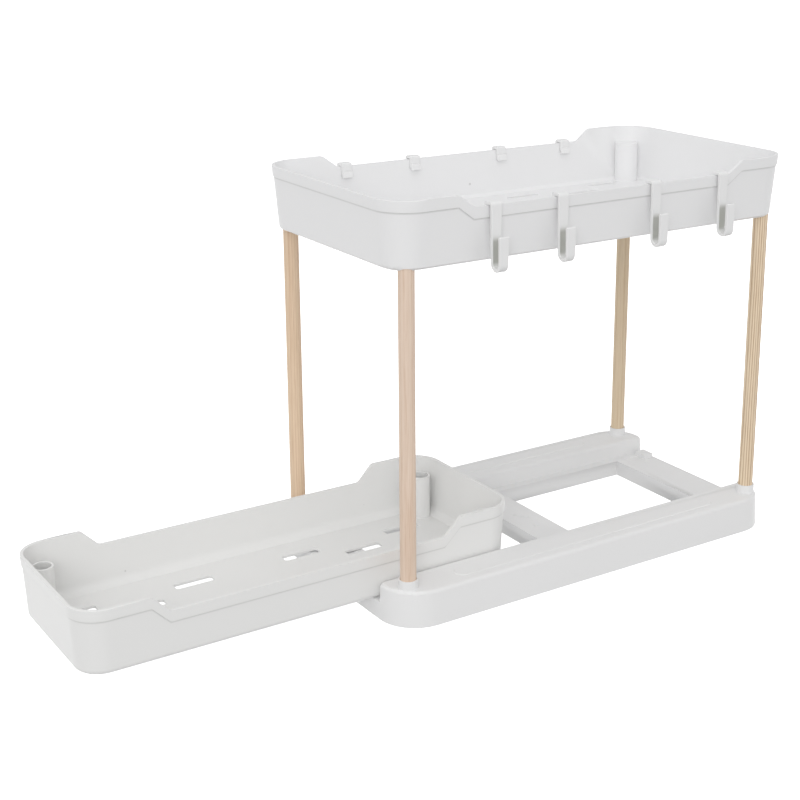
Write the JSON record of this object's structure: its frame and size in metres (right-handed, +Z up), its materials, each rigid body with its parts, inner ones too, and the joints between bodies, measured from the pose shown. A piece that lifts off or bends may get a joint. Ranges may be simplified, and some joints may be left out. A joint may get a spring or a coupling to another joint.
{
  "type": "under sink organizer",
  "caption": "Two-tier under sink organizer: a drawer slides in a low base frame, and an upper tray with dipped long sides stands over it on round dowels, with hooks clipped over its rims.",
  "frame": {"origin": "middle of the base frame's underside, on the floor it stands on", "axes": "+Z up, Y along the long sides with the drawer pulling out towards -Y, X across, near hooks on +X"},
  "size_m": [0.2228, 0.6008, 0.3185],
  "materials": {
    "moulding": "satin white plastic",
    "dowel": "smooth light pine, unvarnished"
  },
  "bodies": {
    "stand": {"base_frame": "moulding", "upper_tray": "moulding", "pole_front_near": "dowel", "pole_front_far": "dowel", "pole_back_near": "dowel", "pole_back_far": "dowel"},
    "drawer": {"drawer_tray": "moulding"},
    "hook_near_1_body": {"hook_near_1": "moulding"},
    "hook_near_2_body": {"hook_near_2": "moulding"},
    "hook_near_3_body": {"hook_near_3": "moulding"},
    "hook_near_4_body": {"hook_near_4": "moulding"},
    "hook_far_1_body": {"hook_far_1": "moulding"},
    "hook_far_2_body": {"hook_far_2": "moulding"},
    "hook_far_3_body": {"hook_far_3": "moulding"},
    "hook_far_4_body": {"hook_far_4": "moulding"}
  },
  "joints": [
    {"name": "drawer_slide", "type": "slide", "parent": "stand", "child": "drawer", "axis": [0, 1, 0], "range_m": [-0.06, 0.234]},
    {"name": "hook_near_1_lift", "type": "slide", "parent": "stand", "child": "hook_near_1_body", "axis": [0, 0, 1], "range_m": [0, 0.015]},
    {"name": "hook_near_2_lift", "type": "slide", "parent": "stand", "child": "hook_near_2_body", "axis": [0, 0, 1], "range_m": [0, 0.015]},
    {"name": "hook_near_3_lift", "type": "slide", "parent": "stand", "child": "hook_near_3_body", "axis": [0, 0, 1], "range_m": [0, 0.015]},
    {"name": "hook_near_4_lift", "type": "slide", "parent": "stand", "child": "hook_near_4_body", "axis": [0, 0, 1], "range_m": [0, 0.015]},
    {"name": "hook_far_1_lift", "type": "slide", "parent": "stand", "child": "hook_far_1_body", "axis": [0, 0, 1], "range_m": [0, 0.015]},
    {"name": "hook_far_2_lift", "type": "slide", "parent": "stand", "child": "hook_far_2_body", "axis": [0, 0, 1], "range_m": [0, 0.015]},
    {"name": "hook_far_3_lift", "type": "slide", "parent": "stand", "child": "hook_far_3_body", "axis": [0, 0, 1], "range_m": [0, 0.015]},
    {"name": "hook_far_4_lift", "type": "slide", "parent": "stand", "child": "hook_far_4_body", "axis": [0, 0, 1], "range_m": [0, 0.015]}
  ]
}
